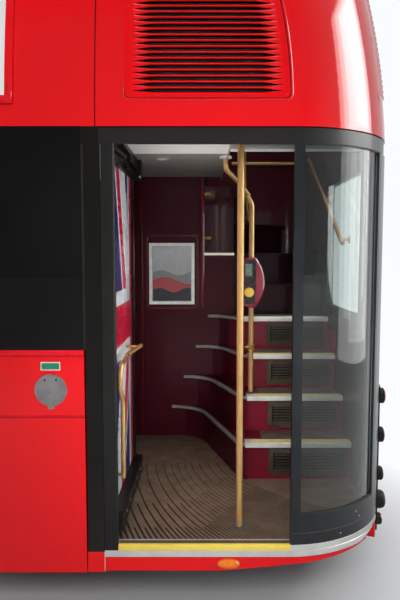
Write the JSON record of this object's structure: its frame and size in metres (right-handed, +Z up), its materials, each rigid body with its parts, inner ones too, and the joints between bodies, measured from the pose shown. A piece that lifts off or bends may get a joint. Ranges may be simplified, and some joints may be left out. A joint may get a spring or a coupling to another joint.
{
  "type": "double decker bus rear entrance section",
  "caption": "Rear entrance section of a double decker bus: open platform, curved stairs to the upper deck, gliding door, curved corner glass.",
  "frame": {"origin": "centre of the front chassis flange bolt pattern", "axes": "+X to the tail of the bus, +Y to the offside, +Z up"},
  "size_m": [2.361, 2.5295, 3.091],
  "materials": {
    "red_paint": "gloss",
    "black_paint": "satin",
    "grey_paint": "satin",
    "lamp_lens": "gloss",
    "maroon_laminate": "satin",
    "floor_vinyl": "matte",
    "pale_laminate": "matte",
    "edge_aluminium": "brushed",
    "steel_frame": "matte",
    "deck_board": "matte",
    "window_glass": "clear",
    "gold_rail": "gloss",
    "reader_plastic": "gloss",
    "frame_aluminium": "satin",
    "flap_steel": "brushed",
    "engine_iron": "rough"
  },
  "bodies": {
    "rear_section": {"advert_board": "red_paint", "body_post": "black_paint", "bumper": "black_paint", "ceiling": "pale_laminate", "cooling_pack": "engine_iron", "corner_frame": "black_paint", "corner_glass": "window_glass", "door_post": "black_paint", "door_track": "steel_frame", "engine_block": "engine_iron", "entrance_pillar": "black_paint", "entrance_pole": "gold_rail", "glass_screen": "window_glass", "header_band": "black_paint", "lamps_near": "lamp_lens", "lamps_off": "lamp_lens", "newel_branch": "gold_rail", "newel_pole": "gold_rail", "off_panel_lower": "red_paint", "off_panel_upper": "red_paint", "off_window": "window_glass", "platform_floor": "floor_vinyl", "poster_frame": "frame_aluminium", "poster_wall": "maroon_laminate", "rear_louvre": "red_paint", "rear_pillar": "grey_paint", "side_louvre": "red_paint", "side_panel_lower": "red_paint", "side_panel_upper": "red_paint", "side_window": "window_glass", "side_window_frame": "black_paint", "skirt": "red_paint", "stair_lining": "maroon_laminate", "stair_lower": "maroon_laminate", "stair_upper": "maroon_laminate", "step_edge": "edge_aluminium", "tail_panel_lower": "red_paint", "tail_panel_upper": "red_paint", "tail_window": "window_glass", "ticket_reader": "reader_plastic", "underframe": "steel_frame", "upper_deck": "deck_board", "upper_panel_corner": "red_paint", "upper_panel_front": "red_paint", "wall_rail": "gold_rail"},
    "door_arm": {"arm_low": "steel_frame", "arm_high": "steel_frame"},
    "door_leaf": {"leaf_frame": "black_paint", "leaf_glass": "window_glass", "leaf_rail": "gold_rail"},
    "fuel_flap": {"filler_flap": "flap_steel"},
    "engine_hatch": {"engine_door": "red_paint"}
  },
  "joints": [
    {"name": "door_arm_turn", "type": "hinge", "parent": "rear_section", "child": "door_arm", "pos_m": [0.845, -1.21893, 0.1], "axis": [0, 0, 1], "range_deg": [-85.2, 0]},
    {"name": "door_leaf_turn", "type": "hinge", "parent": "door_arm", "child": "door_leaf", "pos_m": [0.88468, -0.77068, 0.1], "axis": [0, 0, 1], "range_deg": [0, 176.3]},
    {"name": "fuel_flap_hinge", "type": "hinge", "parent": "rear_section", "child": "fuel_flap", "pos_m": [0.58, -1.265, 0.949], "axis": [-1, 0, 0], "range_deg": [0, 110]},
    {"name": "engine_hatch_hinge", "type": "hinge", "parent": "rear_section", "child": "engine_hatch", "pos_m": [2.325, 0.46, 0.984], "axis": [0, -1, 0], "range_deg": [0, 80]}
  ],
  "couplings": [
    {"joint": "door_leaf_turn", "follows": "door_arm_turn", "ratio": -2.068}
  ]
}
